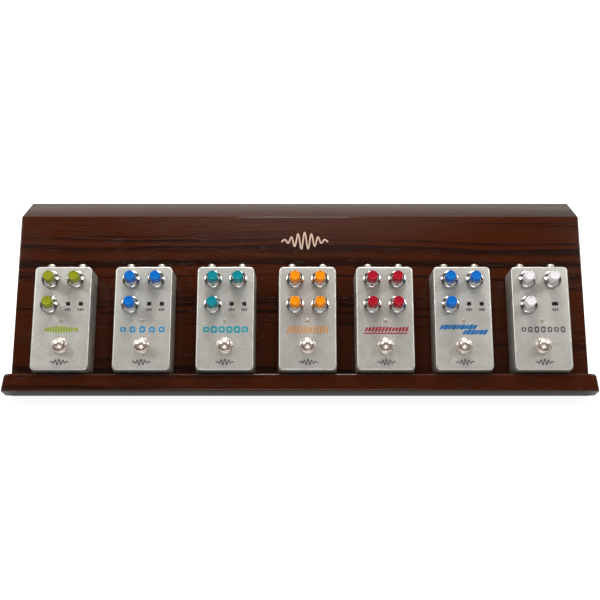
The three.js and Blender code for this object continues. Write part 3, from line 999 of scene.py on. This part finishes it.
def make_legend_tree():
    """A row of bars, each one object scaled to a width and to a height that follows a wave."""
    tree = bpy.data.node_groups.new("wave_of_bars", "GeometryNodeTree")
    for label, kind in (("Bar", "Object"), ("Count", "Int"), ("First", "Vector"), ("Step", "Vector"),
                        ("Width", "Float"), ("Tallest", "Float"), ("Cycles", "Float"),
                        ("Swing", "Float"), ("Ink", "Material")):
        tree.interface.new_socket(label, in_out="INPUT", socket_type="NodeSocket" + kind)
    tree.interface.new_socket("Bars", in_out="OUTPUT", socket_type="NodeSocketGeometry")
    given = add_node(tree, "NodeGroupInput").outputs
    place = arith(tree, "DIVIDE", add_node(tree, "GeometryNodeInputIndex").outputs[0], given["Count"])
    turn = arith(tree, "MULTIPLY", arith(tree, "MULTIPLY", place, given["Cycles"]), math.pi)
    wave_height = arith(tree, "ABSOLUTE", arith(tree, "SINE", turn))
    drop = arith(tree, "MULTIPLY", arith(tree, "SUBTRACT", 1.0, wave_height), given["Swing"])
    tall = arith(tree, "MULTIPLY", arith(tree, "SUBTRACT", 1.0, drop), given["Tallest"])
    size = add_node(tree, "ShaderNodeCombineXYZ", {"X": given["Width"], "Y": tall, "Z": 1.0}).outputs[0]
    line = add_node(tree, "GeometryNodeMeshLine", {
        "Count": given["Count"], "Start Location": given["First"], "Offset": given["Step"]})
    bar = add_node(tree, "GeometryNodeObjectInfo", {"Object": given["Bar"]})
    row = add_node(tree, "GeometryNodeInstanceOnPoints", {
        "Points": line.outputs[0], "Instance": bar.outputs["Geometry"], "Scale": size})
    real = add_node(tree, "GeometryNodeRealizeInstances", {0: row.outputs[0]})
    inked = add_node(tree, "GeometryNodeSetMaterial", {0: real.outputs[0], "Material": given["Ink"]})
    add_node(tree, "NodeGroupOutput", {0: inked.outputs[0]})
    return tree


def make_legends():
    film = 0.06
    grey, dark = printed("grey_ink", "646564", 0.45), printed("dark_grey_ink", "565756", 0.45)
    bar = bpy.data.objects.new("bar", slab(1, 1, 0, film, radius=0.24))
    frames = {pedal: bpy.data.objects.new("frame", cut_away(
        slab(1, 1, 0, film, radius=0.3), [slab(hollow, hollow * 1.1, -1, 1, radius=0.12)]))
        for pedal, hollow in OPEN_MARKS.items()}
    lean = Matrix(((1, 0.8, 0, 0), (0, 1, 0, 0), (0, 0, 1, 0), (0, 0, 0, 1)))
    leaning = bpy.data.objects.new("leaning_bar", placed(slab(1, 1, 0, film, radius=0.2), lean))
    patterns = {**frames, **dict.fromkeys(LEANING_MARKS, leaning)}
    tree = make_legend_tree()
    small_wave = ribbon(tone_burst(cycles=5, height=6, length=19), 1.1, film)
    small_wave.materials.append(dark)
    for pedal in PEDALS:
        ink = printed(f"legend_ink_{pedal}", LEGEND_INK[pedal], 0.4)
        marks = [grown(tree, {
            "Bar": patterns.get(pedal, bar), "Count": count, "First": (x - pitch * (count - 1) / 2, y, 0),
            "Step": (pitch, 0, 0), "Width": width, "Tallest": tallest, "Cycles": cycles,
            "Swing": swing, "Ink": ink})
            for count, pitch, width, tallest, x, y, cycles, swing in LEGEND_ROWS[pedal]]
        for _, x, travel in slider_slots(pedal):
            ticks = grown(tree, {
                "Bar": bar, "Count": 3, "First": (x - 2.2, SLIDER_ROW - 6.2, 0), "Step": (2.2, 0, 0),
                "Width": 1.8, "Tallest": 3.4, "Cycles": 1.5, "Swing": 0.25, "Ink": grey})
            marks.append(ticks)
        marks.append(placed(small_wave.copy(), Matrix.Translation((0.4, -46.2, 0))))
        legend = placed(merged(marks), pedal_place(pedal, FACE_HEIGHT + 0.01))
        finish_piece(f"pedal{pedal}_legend", legend, "board")
    for pattern in (bar, leaning, *frames.values()):
        bpy.data.objects.remove(pattern)


make_legends()
